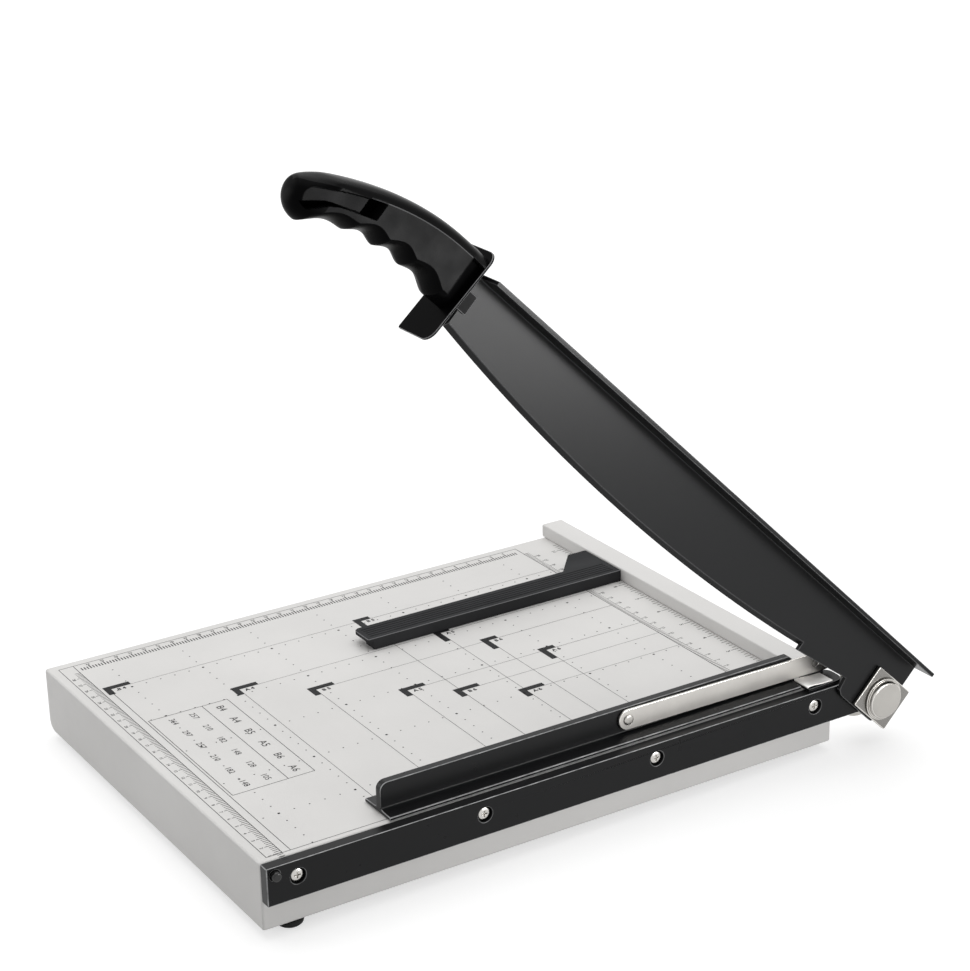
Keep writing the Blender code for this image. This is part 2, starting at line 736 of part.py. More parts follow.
# Link strip with round ends, which runs on past its pin
link_from = WEB_RIGHT + GAP
link_to = link_from + LINK_THICK
slope = math.atan2(RIVET_Z - LINK_PIN_Z, RIVET_Y - LINK_PIN_Y)
link_long = math.hypot(RIVET_Z - LINK_PIN_Z, RIVET_Y - LINK_PIN_Y)
link_points = []
for middle, start in ((link_long, -90.0), (-LINK_PAST_PIN, 90.0)):
    for step in range(13):
        turn = math.radians(start + 180.0 * step / 12)
        across = Vector((middle, 0.0)) + Vector((math.cos(turn), math.sin(turn))) * (LINK_WIDTH / 2)
        along = Matrix.Rotation(slope, 2) @ across
        link_points.append(tuple(along))
clamp_link = solid("clamp_link", prism(link_points, 0, link_from, link_to), clamp_hinge, NICKEL)
link_past = LINK_THICK + CUT_PAST
cut(clamp_link, rod(RIVET_RADIUS + GAP, 0, rivet_at, -CUT_PAST, link_past, 20))
cut(clamp_link, rod(RIVET_RADIUS + GAP, 0, (link_from, 0.0, 0.0), -CUT_PAST, link_past, 20))


def rivet_profile(face, back):
    return (
        (0.0, face + GAP + RIVET_HEAD_THICK),
        (RIVET_HEAD_RADIUS * 0.6, face + GAP + RIVET_HEAD_THICK * 0.9),
        (RIVET_HEAD_RADIUS, face + GAP + RIVET_HEAD_THICK * 0.3),
        (RIVET_HEAD_RADIUS, face + GAP),
        (RIVET_RADIUS, face + GAP),
        (RIVET_RADIUS, back - GAP),
        (RIVET_HEAD_RADIUS, back - GAP),
        (RIVET_HEAD_RADIUS, back - GAP - RIVET_HEAD_THICK * 0.3),
        (RIVET_HEAD_RADIUS * 0.6, back - GAP - RIVET_HEAD_THICK * 0.9),
        (0.0, back - GAP - RIVET_HEAD_THICK),
    )


rivet_centre = (0.0, rivet_at[1], rivet_at[2])
rivet_shape = turned(rivet_profile(link_to, WEB_LEFT), 0, rivet_centre, 20)
shade_smooth(solid("link_rivet", rivet_shape, clamp_hinge, NICKEL))
ear_to = WEB_RIGHT - GAP * 0.5
ear_from = ear_to - EAR_THICK
flush_profile = [(0.0, link_to), (RIVET_RADIUS, link_to), *rivet_profile(link_to, ear_from)[5:]]
pin_shape = turned(flush_profile, 0, (0.0, LINK_PIN_Y, LINK_PIN_Z), 20)
shade_smooth(solid("link_pin", pin_shape, root, NICKEL))

# Bracket of the link, with its foot on the table, and the leaf on the foot
foot_outline = rounded(
    (
        (BRACKET_LEFT, EAR_FRONT, 0.0),
        (WEB_RIGHT + GAP, EAR_FRONT, 0.0),
        (WEB_RIGHT + GAP, BRACKET_FRONT, 0.0),
        (BRACKET_RIGHT, BRACKET_FRONT, 1.0),
        (BRACKET_RIGHT, BRACKET_REAR, 6.5),
        (WEB_RIGHT + GAP, BRACKET_REAR, 6.5),
        (WEB_RIGHT - 2.0, EAR_REAR, 0.0),
        (BRACKET_LEFT, EAR_REAR, 1.0),
    )
)
foot_shape = prism(foot_outline, 2, GAP, GAP + BRACKET_SHEET)
bracket = solid("link_bracket", foot_shape, root, BLACK_STEEL)
ear_outline = rounded(
    (
        (EAR_FRONT, GAP + 0.1, 0.0),
        (EAR_REAR, GAP + 0.1, 0.0),
        (EAR_REAR, EAR_TOP, 6.0),
        (EAR_FRONT, EAR_TOP, 6.0),
    )
)
join(bracket, prism(ear_outline, 0, ear_from, ear_to))
pin_hole = (ear_to, LINK_PIN_Y, LINK_PIN_Z)
cut(bracket, rod(RIVET_RADIUS + GAP, 0, pin_hole, -EAR_THICK - CUT_PAST, CUT_PAST, 20))
leaf_low = GAP + BRACKET_SHEET + GAP
leaf_line = ((LEAF_REAR, 0.0), (6.0, 0.3), (0.0, 0.9), (-3.6, 0.9), (LEAF_FRONT, 0.2))
leaf_outline = [(y, leaf_low + z) for y, z in leaf_line]
leaf_outline += [(y, leaf_low + z + LEAF_THICK) for y, z in reversed(leaf_line)]
solid("leaf_spring", prism(leaf_outline, 0, LEAF_LEFT, LEAF_RIGHT), root, NICKEL)

# Side guide, in the frame of its slide
guide_outline = rounded(
    (
        (GUIDE_RIGHT, -GAP, 0.0),
        (GUIDE_HEAD_LEFT, -GAP, 1.0),
        (GUIDE_HEAD_LEFT, -15.0, 3.0),
        (GUIDE_LEFT - 0.5, -GUIDE_HEAD_LONG, 2.0),
        (GUIDE_LEFT, GUIDE_FRONT, 4.5),
        (GUIDE_RIGHT, GUIDE_FRONT, 1.0),
    )
)
guide = solid("side_guide", prism(guide_outline, 2, GAP, GAP + GUIDE_HEIGHT), guide_slide, PLASTIC)
plate_low = GAP + GUIDE_HEIGHT - GUIDE_PLATE
front_past = GUIDE_FRONT - CUT_PAST
rib_left = GUIDE_RIGHT - GUIDE_RIB_WIDTH
rib_front = GUIDE_FRONT + GUIDE_RIB_SETBACK
left_past = GUIDE_HEAD_LEFT - CUT_PAST
beside_rib = (
    (left_past, front_past),
    (GUIDE_RIGHT + CUT_PAST, front_past),
    (GUIDE_RIGHT + CUT_PAST, rib_front),
    (rib_left, rib_front),
    (rib_left, -GUIDE_HEAD_LONG),
    (left_past, -GUIDE_HEAD_LONG),
)
cut(guide, prism(beside_rib, 2, GAP - CUT_PAST, plate_low))
for index in range(GROOVE_COUNT):
    middle = (GUIDE_LEFT + GUIDE_RIGHT) / 2 + (index - (GROOVE_COUNT - 1) / 2) * GROOVE_PITCH
    cut(
        guide,
        box(
            (middle - GROOVE_WIDTH / 2, middle + GROOVE_WIDTH / 2),
            (GUIDE_FRONT + 4.0, -GAP - 4.0),
            (GAP + GUIDE_HEIGHT - GROOVE_DEPTH, GAP + GUIDE_HEIGHT + 2.0),
        ),
    )

# Feet with their screws
for index, (x, y) in enumerate(foot_places()):
    top = -TRAY_HEIGHT - GAP
    foot_profile = (
        (FOOT_SCREW_RADIUS + GAP, 0.0),
        (FOOT_RADIUS - 1.0, 0.0),
        (FOOT_RADIUS, -1.4),
        (FOOT_RADIUS - 0.6, -FOOT_HEIGHT + 1.2),
        (FOOT_RADIUS - 2.0, -FOOT_HEIGHT),
        (FOOT_SCREW_HEAD + GAP, -FOOT_HEIGHT),
        (FOOT_SCREW_HEAD + GAP, -FOOT_HEIGHT + 2.6),
        (FOOT_SCREW_RADIUS + GAP, -FOOT_HEIGHT + 2.6),
    )
    shade_smooth(solid("foot_%d" % (index + 1), turned(foot_profile, 2, (x, y, top), 24), root, RUBBER))
    seat = -FOOT_HEIGHT + 2.6 - GAP
    screw_profile = (
        (0.0, 6.0),
        (FOOT_SCREW_RADIUS, 6.0),
        (FOOT_SCREW_RADIUS, seat),
        (FOOT_SCREW_HEAD, seat),
        (FOOT_SCREW_HEAD - 0.8, seat - 1.5),
        (0.0, seat - 1.5),
    )
    shade_smooth(
        solid("foot_screw_%d" % (index + 1), turned(screw_profile, 2, (x, y, top), 16), root, NICKEL)
    )


# Places the whole cutter with its bounding box centred on the origin and its feet on the floor
def bounds():
    bpy.context.view_layer.update()
    graph = bpy.context.evaluated_depsgraph_get()
    corners = []
    for piece in parts.objects:
        if piece.type == "MESH":
            evaluated = piece.evaluated_get(graph)
            shape = evaluated.to_mesh()
            corners += [piece.matrix_world @ vert.co for vert in shape.vertices]
            evaluated.to_mesh_clear()
    low = Vector([min(corner[axis] for corner in corners) for axis in range(3)])
    high = Vector([max(corner[axis] for corner in corners) for axis in range(3)])
    return low, high


low, high = bounds()
root.location = (-(low.x + high.x) / 2, -(low.y + high.y) / 2, -low.z)
bpy.context.view_layer.update()
print("size", [round(value, 6) for value in high - low])
for marker in (root, arm_hinge, clamp_hinge, guide_slide):
    print(marker.name, [round(value, 6) for value in marker.matrix_world.translation])
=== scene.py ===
"""Looks of the guillotine paper cutter: finishes, handle, printed table, studio and camera."""

import json
import math

import bmesh
import bpy
from mathutils import Matrix, Vector


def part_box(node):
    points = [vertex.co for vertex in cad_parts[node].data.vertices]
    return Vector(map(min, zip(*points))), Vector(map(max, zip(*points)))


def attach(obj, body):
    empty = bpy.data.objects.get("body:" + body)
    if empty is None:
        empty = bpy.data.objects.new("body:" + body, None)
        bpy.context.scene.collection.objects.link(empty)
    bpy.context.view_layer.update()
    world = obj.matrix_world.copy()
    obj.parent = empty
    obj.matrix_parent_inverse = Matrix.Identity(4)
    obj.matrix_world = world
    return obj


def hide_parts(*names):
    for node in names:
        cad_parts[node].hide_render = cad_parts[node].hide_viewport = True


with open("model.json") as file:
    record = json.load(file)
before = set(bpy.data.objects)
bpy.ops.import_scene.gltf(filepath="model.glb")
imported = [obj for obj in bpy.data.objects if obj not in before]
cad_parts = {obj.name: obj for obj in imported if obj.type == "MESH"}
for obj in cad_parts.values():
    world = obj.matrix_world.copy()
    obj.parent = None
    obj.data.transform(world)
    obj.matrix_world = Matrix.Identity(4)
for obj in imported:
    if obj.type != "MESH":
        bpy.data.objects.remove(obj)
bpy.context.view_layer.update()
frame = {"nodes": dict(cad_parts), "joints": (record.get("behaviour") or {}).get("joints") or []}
nodes = frame["nodes"]

# Sizes are in millimetres from the cutter's datum: X = 0 is the cutting plane, Y = 0 the fence
# face and Z = 0 the table top. The datum is read from the frame.
MM = 0.001
RAIL_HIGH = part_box("cutting_rail")[1]
FENCE_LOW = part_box("rear_fence")[0]
DATUM = Vector((RAIL_HIGH.x, FENCE_LOW.y, RAIL_HIGH.z))
TABLE = Matrix.Translation(DATUM) @ Matrix.Scale(MM, 4)
PIVOT = Vector(next(joint for joint in frame["joints"] if joint["name"] == "arm_swing")["pos_m"])
ARM_ANGLE = 44.5
ARM_TURN = Matrix.Rotation(-math.radians(ARM_ANGLE), 4, "X")
ARM = Matrix.Translation(PIVOT) @ ARM_TURN @ Matrix.Scale(MM, 4)

# Camera, found from the printed paper marks. Its focal length is in pixels.
IMAGE_WIDTH = 970.0
CAMERA_AT = (1051.874, -892.874, 673.081)
CAMERA_AIM = (101.14, -303.43, 238.74)
CAMERA_ROLL = -1.291
CAMERA_FOCAL = 2426.8
SENSOR = 36.0

# Noise of the finishes: size in millimetres, detail and roughness, or some of these
CLOUD_NOISE = (70.0, 4.0)
GLOSS_NOISE = (9.0, 5.0, 0.65)
PEEL_NOISE = (2.4, 2.0)
FINE_PEEL_NOISE = (0.6, 2.0)
WEAR_AND_HIGHLIGHT_NOISE = (6.0, 4.0)
STAIN_NOISE = (14.0, 5.0, 0.6)
BRUSH_DETAIL = (4.0, 0.7)
FLOW_NOISE = (22.0, 4.0)
FLOW_STRETCH = (1.0, 0.25, 1.0)
SHINE_NOISE = (16.0, 4.0)
FILM_NOISE = (1.2, 4.0, 0.7)
INK_GLOSS_SIZE = 0.6

# How far the noise changes colour, gloss and relief, and what counts as a worn edge, which is also
# lightened as a painted highlight
CLOUD_SHADES = (0.965, 1.03)
PEEL_STRENGTH = 0.15
FINE_PEEL_STRENGTH = 0.1
FINE_PEEL_DEPTH = 0.5
WEAR_AND_HIGHLIGHT_EDGE = (0.505, 0.56)
WEAR_AND_HIGHLIGHT_RANGE = (0.35, 1.0)
STAIN_SHADES = (0.93, 1.03)
BRUSH_GLOSS = (-0.05, 0.09)
BRUSH_DEPTH = 0.05
FLOW_SHADES = (0.85, 1.2)
SHINE_GLOSS = (-0.06, 0.07)
GRAIN_STRENGTH = 0.3
FILM_WEAR = (0.45, 0.75)
INK_ROUGH = (0.45, 0.65)
INK_SPECULAR = 0.15

# Rubbed edges of the guide, lightened for wear and as a painted highlight, in millimetres
RUB_HIGHLIGHT_WIDTH = 0.55
RUB_HIGHLIGHT_DEPTH = 0.3

# Sockets of a Mix node for colours
MIX_FACTOR = 0
MIX_FIRST = 6
MIX_SECOND = 7
MIX_RESULT = 2


# Node materials
def new_material(name):
    made = bpy.data.materials.new(name)
    made.use_nodes = True
    return made, made.node_tree, made.node_tree.nodes["Principled BSDF"]


def add(tree, kind, values=None, **settings):
    """Adds a node. A value that is a socket is linked, and any other is set."""
    node = tree.nodes.new(kind)
    for key, value in settings.items():
        setattr(node, key, value)
    for key, value in (values or {}).items():
        connect(tree, node, key, value)
    return node


def connect(tree, node, key, value):
    if isinstance(value, bpy.types.NodeSocket):
        tree.links.new(value, node.inputs[key])
    else:
        node.inputs[key].default_value = value


def place(tree, stretch=(1.0, 1.0, 1.0)):
    """Object coordinates in metres, stretched along the axes."""
    where = add(tree, "ShaderNodeTexCoord")
    values = {"Vector": where.outputs["Object"], "Scale": stretch}
    return add(tree, "ShaderNodeMapping", values).outputs[0]


def noise(tree, vector, size, detail=3.0, rough=0.5):
    """Noise with features of about the given size in millimetres."""
    values = {"Vector": vector, "Scale": 1.0 / (size * MM), "Detail": detail, "Roughness": rough}
    return add(tree, "ShaderNodeTexNoise", values).outputs["Fac"]


def spread(tree, value, low, high, start=0.3, end=0.7):
    values = {"Value": value, "From Min": start, "From Max": end, "To Min": low, "To Max": high}
    return add(tree, "ShaderNodeMapRange", values).outputs["Result"]


def blend_colour(tree, factor, first, second):
    values = {MIX_FACTOR: factor, MIX_FIRST: first, MIX_SECOND: second}
    return add(tree, "ShaderNodeMix", values, data_type="RGBA").outputs[MIX_RESULT]


def bump(tree, height, strength, depth, under=None):
    values = {"Height": height, "Strength": strength, "Distance": depth * MM}
    node = add(tree, "ShaderNodeBump", values)
    if under is not None:
        tree.links.new(under, node.inputs["Normal"])
    return node.outputs["Normal"]


def rgba(colour, factor=1.0):
    return tuple(channel * factor for channel in colour) + (1.0,)


def calculate(tree, operation, first, second):
    return add(tree, "ShaderNodeMath", {0: first, 1: second}, operation=operation).outputs[0]


def edge_mask(tree, vector):
    """Rubbed convex edges, lightened for wear and as a painted highlight, broken up by fine noise.
    """
    geometry = add(tree, "ShaderNodeNewGeometry")
    edge = spread(tree, geometry.outputs["Pointiness"], 0.0, 1.0, *WEAR_AND_HIGHLIGHT_EDGE)
    broken = spread(tree, noise(tree, vector, *WEAR_AND_HIGHLIGHT_NOISE), *WEAR_AND_HIGHLIGHT_RANGE)
    return calculate(tree, "MULTIPLY", edge, broken)


def cloudy(tree, value, colour, shades):
    """A colour between two shades of itself, chosen by noise."""
    low, high = (rgba(colour, shade) for shade in shades)
    return blend_colour(tree, spread(tree, value, 0.0, 1.0), low, high)


def painted(name, colour, rough, peel, specular, wear_and_highlight=None, patchy=0.055):
    """Sprayed paint: clouding, orange peel and uneven gloss; an edge colour adds wear and painted
    highlight.
    """
    made, tree, shader = new_material(name)
    vector = place(tree)
    tone = cloudy(tree, noise(tree, vector, *CLOUD_NOISE), colour, CLOUD_SHADES)
    # Convex edges are lightened for wear and as a painted highlight.
    if wear_and_highlight:
        tone = blend_colour(tree, edge_mask(tree, vector), tone, rgba(wear_and_highlight))
    connect(tree, shader, "Base Color", tone)
    gloss = noise(tree, vector, *GLOSS_NOISE)
    connect(tree, shader, "Roughness", spread(tree, gloss, rough - patchy, rough + patchy))
    coarse = bump(tree, noise(tree, vector, *PEEL_NOISE), PEEL_STRENGTH, peel)
    fine = noise(tree, vector, *FINE_PEEL_NOISE)
    relief = bump(tree, fine, FINE_PEEL_STRENGTH, peel * FINE_PEEL_DEPTH, coarse)
    connect(tree, shader, "Normal", relief)
    shader.inputs["Specular IOR Level"].default_value = specular
    return made


def plated(name, colour, rough, stretch=(1.0, 1.0, 1.0), brush=0.5, relief=0.12):
    """Nickel plate: fine brushing along the least stretched axis, staining and uneven gloss."""
    made, tree, shader = new_material(name)
    vector = place(tree)
    brushed = noise(tree, place(tree, stretch), brush, *BRUSH_DETAIL)
    tone = cloudy(tree, noise(tree, vector, *STAIN_NOISE), colour, STAIN_SHADES)
    connect(tree, shader, "Base Color", tone)
    gloss = spread(tree, brushed, rough + BRUSH_GLOSS[0], rough + BRUSH_GLOSS[1])
    connect(tree, shader, "Roughness", gloss)
    connect(tree, shader, "Normal", bump(tree, brushed, relief, BRUSH_DEPTH))
    shader.inputs["Metallic"].default_value = 1.0
    return made


def moulded(name, colour, rough, grain, depth, specular):
    """Moulded plastic or rubber: spark-eroded grain, faint flow marks and handling shine."""
    made, tree, shader = new_material(name)
    vector = place(tree)
    flow = noise(tree, place(tree, FLOW_STRETCH), *FLOW_NOISE)
    connect(tree, shader, "Base Color", cloudy(tree, flow, colour, FLOW_SHADES))
    shine = noise(tree, vector, *SHINE_NOISE)
    gloss = spread(tree, shine, rough + SHINE_GLOSS[0], rough + SHINE_GLOSS[1])
    connect(tree, shader, "Roughness", gloss)
    cells = add(tree, "ShaderNodeTexVoronoi", {"Vector": vector, "Scale": 1.0 / (grain * MM)})
    connect(tree, shader, "Normal", bump(tree, cells.outputs["Distance"], GRAIN_STRENGTH, depth))
    shader.inputs["Specular IOR Level"].default_value = specular
    return made


def rub_edges(look, node, wear_and_highlight):
    """Lightens a node's upper right and front edges, where sheets slide past: wear and painted
    highlight.
    """
    tree = look.node_tree
    low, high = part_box(node)
    x, y, z = add(tree, "ShaderNodeSeparateXYZ", {0: place(tree)}).outputs
    right = calculate(tree, "GREATER_THAN", x, high[0] - RUB_HIGHLIGHT_WIDTH * MM)
    front = calculate(tree, "LESS_THAN", y, low[1] + RUB_HIGHLIGHT_WIDTH * MM)
    upper = calculate(tree, "GREATER_THAN", z, high[2] - RUB_HIGHLIGHT_DEPTH * MM)
    mask = calculate(tree, "MULTIPLY", calculate(tree, "MAXIMUM", right, front), upper)
    shader = tree.nodes["Principled BSDF"]
    tone = shader.inputs["Base Color"].links[0].from_socket
    connect(tree, shader, "Base Color", blend_colour(tree, mask, tone, rgba(wear_and_highlight)))


def printed(name, colour, faded):
    """Screen-printed ink with a patchy, slightly worn film."""
    made, tree, shader = new_material(name)
    vector = place(tree)
    patch = spread(tree, noise(tree, vector, *FILM_NOISE), 0.0, 1.0, *FILM_WEAR)
    connect(tree, shader, "Base Color", blend_colour(tree, patch, rgba(colour), rgba(faded)))
    gloss = spread(tree, noise(tree, vector, INK_GLOSS_SIZE), *INK_ROUGH)
    connect(tree, shader, "Roughness", gloss)
    shader.inputs["Specular IOR Level"].default_value = INK_SPECULAR
    return made


# Finishes
GREY = (0.715, 0.705, 0.69)
BLACK = (0.0062, 0.0064, 0.0069)
BLADE_BLACK = (0.008, 0.0083, 0.009)
GREY_PAINT = painted("light_grey_paint", GREY, 0.45, 0.012, 0.4)
# The light grey, blade and black edge finishes lighten convex edges for wear and as a painted
# highlight.
GREY_WEAR_AND_HIGHLIGHT = painted("light_grey_edge_wear_and_highlight", GREY, 0.4, 0.012, 0.45, (0.8, 0.795, 0.785))
BLADE_PAINT = painted("blade_paint", BLADE_BLACK, 0.28, 0.002, 0.18, None, 0.005)
BLADE_WEAR_AND_HIGHLIGHT = painted("blade_edge_wear_and_highlight", BLADE_BLACK, 0.3, 0.01, 0.4, (0.16, 0.163, 0.167))
BLACK_PAINT = painted("black_paint", BLACK, 0.3, 0.006, 0.16, None, 0.03)
CLAMP_PAINT = painted("clamp_paint", BLACK, 0.3, 0.006, 0.21, None, 0.03)
BLACK_WEAR_AND_HIGHLIGHT = painted("black_edge_wear_and_highlight", BLACK, 0.3, 0.012, 0.3, (0.5, 0.505, 0.51))
DULL_NICKEL = plated("dull_nickel", (0.245, 0.238, 0.226), 0.26)
NICKEL = plated("nickel_plate", (0.46, 0.445, 0.42), 0.2)
SCREW_NICKEL = plated("screw_nickel", (0.56, 0.545, 0.52), 0.2)
# A brighter copy of the nickel for rounded edges: painted highlight.
NICKEL_EDGE_HIGHLIGHT = plated("nickel_edge_painted_highlight", (0.72, 0.7, 0.665), 0.18)
NICKEL_STRIP = plated("brushed_nickel", (0.53, 0.512, 0.487), 0.36, (1.0, 0.03, 1.0), 0.3, 0.03)
LEAF_NICKEL = plated("leaf_nickel", (0.85, 0.84, 0.82), 0.4)
PLASTIC = moulded("moulded_plastic", (0.0052, 0.0052, 0.0055), 0.3, 0.5, 0.012, 0.05)
# Darker and lighter copies of the handle plastic: painted shade on the band, shaded sides and
# holes, painted highlight on the crease and the guard's edges.
BAND_SHADE_PLASTIC = moulded("band_painted_shade", (0.004, 0.004, 0.0042), 0.26, 0.5, 0.008, 0.055)
SHADE_PLASTIC = moulded("shade_plastic", (0.0022, 0.0022, 0.0024), 0.3, 0.5, 0.012, 0.02)
HOLE_SHADE_PLASTIC = moulded("hole_painted_shade", (0.0012, 0.0012, 0.0012), 0.6, 0.5, 0.012, 0.005)
CREASE_HIGHLIGHT_PLASTIC = moulded("crease_painted_highlight", (0.11, 0.11, 0.113), 0.3, 0.5, 0.012, 0.2)
GUARD_EDGE_HIGHLIGHT_PLASTIC = moulded("guard_edge_painted_highlight", (0.2, 0.2, 0.205), 0.3, 0.5, 0.012, 0.3)
RIB_PLASTIC = moulded("guide_plastic", (0.034, 0.0345, 0.036), 0.5, 0.4, 0.03, 0.02)
# The guide's right and front upper edges are lightened for wear and as a painted highlight.
rub_edges(RIB_PLASTIC, "side_guide", (0.17, 0.17, 0.175))
GLOSS_RUBBER = moulded("glossy_rubber", (0.008, 0.008, 0.008), 0.22, 0.6, 0.01, 0.45)
RUBBER = moulded("matt_rubber", (0.009, 0.009, 0.009), 0.7, 0.6, 0.04, 0.2)
INK = printed("print_ink", (0.008, 0.008, 0.009), (0.025, 0.025, 0.026))
FINE_INK = printed("fine_print_ink", (0.06, 0.06, 0.063), (0.16, 0.16, 0.16))

# Shapes: a gap in millimetres, angles in degrees, and the slot of edges with no finish of their own
JOIN_GAP = 0.002
FLAT_ANGLE = 0.5
BEVEL_ANGLE = 32.0
BEVEL_SEGMENTS = 3
SHARP_ANGLE = 38.0
SAME_LOOK = -1


def finish_piece(made, body, bevel=0.0, stands_for=()):
    if bevel > 0.0:
        soften(made, bevel, len(made.data.materials) - 1)
    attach(made, body)
    if stands_for:
        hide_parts(*stands_for)


def soften(made, width, edge_slot):
    """Rounds sharp edges. The shading follows the faces, and new faces can take a material slot."""
    edge = made.modifiers.new("rounded_edges", "BEVEL")
    edge.material = edge_slot
    edge.width = width * MM
    edge.segments = BEVEL_SEGMENTS
    edge.limit_method = "ANGLE"
    edge.angle_limit = math.radians(BEVEL_ANGLE)
    edge.use_clamp_overlap = False
    normals = made.modifiers.new("face_shading", "WEIGHTED_NORMAL")
    normals.keep_sharp = False


def dress(node, look, width, edge_look):
    """Gives a CAD node its finish. Modifiers join its triangles and round its edges."""
    made = nodes[node]
    made.data.materials.clear()
    made.data.materials.append(look)
    if edge_look:
        made.data.materials.append(edge_look)
    for face in made.data.polygons:
        face.use_smooth = True
    weld = made.modifiers.new("join_points", "WELD")
    weld.merge_threshold = JOIN_GAP * MM
    flat = made.modifiers.new("join_faces", "DECIMATE")
    flat.decimate_type = "DISSOLVE"
    flat.angle_limit = math.radians(FLAT_ANGLE)
    soften(made, width, 1 if edge_look else SAME_LOOK)


def mesh_piece(name, shape, matrix, *looks):
    """Turns a shape in millimetres into a placed object."""
    mesh = bpy.data.meshes.new(name)
    shape.to_mesh(mesh)
    shape.free()
    mesh.transform(matrix)
    for look in looks:
        mesh.materials.append(look)
    made = bpy.data.objects.new(name, mesh)
    bpy.context.scene.collection.objects.link(made)
    return made


# Nodes, their finish, the width of their rounded edges in millimetres and the finish of those,
# lighter for wear and painted highlight where given
DRESS = (
    (("base_pan", "rear_fence"), GREY_PAINT, 0.6, GREY_WEAR_AND_HIGHLIGHT),
    (("cutting_rail",), BLACK_PAINT, 0.45, BLACK_WEAR_AND_HIGHLIGHT),
    (("blade_arm",), BLADE_PAINT, 0.4, BLADE_WEAR_AND_HIGHLIGHT),
    (("clamp_bar",), CLAMP_PAINT, 0.4, BLACK_WEAR_AND_HIGHLIGHT),
    (("link_bracket",), BLACK_PAINT, 0.35, BLADE_WEAR_AND_HIGHLIGHT),
    (("rail_screw_1", "rail_screw_2", "rail_screw_3", "rail_screw_4"), SCREW_NICKEL, 0.12, None),
    (("foot_screw_1", "foot_screw_2", "foot_screw_3", "foot_screw_4"), NICKEL, 0.15, None),
    (("pivot_plate",), DULL_NICKEL, 0.6, NICKEL_EDGE_HIGHLIGHT),
    (("pivot_bolt",), NICKEL, 0.35, NICKEL_EDGE_HIGHLIGHT),
    (("pivot_washer", "pivot_collar", "pivot_nut", "link_rivet"), NICKEL, 0.3, None),
    (("link_pin",), NICKEL_STRIP, 0.15, None),
    (("leaf_spring",), LEAF_NICKEL, 0.15, None),
    (("clamp_link",), NICKEL_STRIP, 0.4, NICKEL_EDGE_HIGHLIGHT),
    (("side_guide",), RIB_PLASTIC, 0.2, None),
    (("stop_pin",), GLOSS_RUBBER, 0.5, None),
    (("foot_1", "foot_2", "foot_3", "foot_4"), RUBBER, 0.3, None),
)
for names, look, width, edge_look in DRESS:
    for node in names:
        dress(node, look, width, edge_look)

# Handle in the arm's frame, measured along the arm from the guard
GUARD_REACH = 441.0
GUARD_NEAR = 3.25
GUARD_THICK = 1.5
GUARD_LEAN = 0.066
GUARD_INNER = -19.0
GUARD_OUTER = 12.0
GUARD_LOW = -16.2
GUARD_HIGH = 43.0
GUARD_ROUND = 7.0
GUARD_INNER_ROUND = 1.5
GUARD_ROUND_STEPS = 8
GUARD_EDGE = 0.35
TAB_FACES = (3.6, 4.8)
TAB_REACH = (-8.8, 3.0)
TAB_RISE = (8.3, 20.0)
TAB_ROUND = 0.8
TAB_ROUND_STEPS = 4
TAB_LOOK = 1
GRIP_CENTRE = 1.0
GRIP_HALF = 12.5
GRIP_TOP = 39.3
GRIP_BOW_FROM = 21.0
GRIP_BOW = 0.0030
FINGER_RIDGES = ((18.0, 2.8), (41.6, 6.0), (61.7, 4.4), (82.0, 0.3), (107.2, -11.87))
FINGER_HOLLOW = 3.5
FINGER_POWER = 1.15
BUTT_FROM = 108.0
BUTT_LONG = 12.9
BUTT_DROP = -0.13
BUTT_STEPS = 60
BUTT_TURN = 89.6
BUTT_WIDE_POWER = 0.6
BUTT_TOP_POWER = 0.39
BUTT_LOW_POWER = 0.87
ROUND_REACH = (102.0, 114.0)
STATION_GAP = 0.5
BAND_HIGH = (6.2, 4.0)
BAND_REACH = (84.0, 111.0)
BAND_RISE_POWER = 0.9
BAND_OUT_POWER = 0.85
UNDER_HIGH = 6.6
UNDER_POWER = 1.3
PANEL_PROUD = 0.5
PANEL_CHAMFER = 0.6
PANEL_FADE = (113.0, 119.0)
NECK_END = 13.8
NECK_STEP = 2.2
NECK_SUNK = 4.6
NECK_TAPER = 1.6
POCKET_UPPER = 6.7
POCKET_LOWER = (
    (74.0, 17.1),
    (84.0, 16.8),
    (96.0, 15.9),
    (102.0, 16.6),
    (106.5, 19.2),
    (111.0, 20.4),
    (117.0, 17.0),
)
POCKET_END = 114.0
POCKET_SUNK = 2.2
POCKET_WALL = 0.9
SLOT_REACH = (74.6, 84.2)
SLOT_SUNK = 7.0
SLOT_WALL = 0.4
GROOVE_UPPER = (
    (84.0, 16.9),
    (90.5, 15.7),
    (97.0, 14.8),
    (104.0, 14.0),
    (109.0, 14.7),
    (117.0, 16.2),
)
GROOVE_SUNK = 6.0
GROOVE_WALL = 0.8
BAND_POINTS = 12
PANEL_POINTS = 60
UNDER_POINTS = 14
# Slots of the handle's finishes: the crease carries a painted highlight, and the band, shaded
# sides, underside and holes carry painted shade.
PANEL_LOOK, CREASE_HIGHLIGHT_LOOK, BAND_SHADE_LOOK, SHADE_LOOK, HOLE_SHADE_LOOK = range(5)


def smooth(value):
    value = min(1.0, max(0.0, value))
    return value * value * (3.0 - 2.0 * value)


def grip_top(along):
    return GRIP_TOP - GRIP_BOW * max(0.0, along - GRIP_BOW_FROM) ** 2


def grip_bottom(along):
    for (near, near_rise), (far, far_rise) in zip(FINGER_RIDGES, FINGER_RIDGES[1:]):
        if near <= along <= far:
            part = (along - near) / (far - near)
            hollow = FINGER_HOLLOW * math.sin(math.pi * part) ** FINGER_POWER
            return near_rise + (far_rise - near_rise) * part + hollow
    return FINGER_RIDGES[0][1] if along < FINGER_RIDGES[0][0] else FINGER_RIDGES[-1][1]


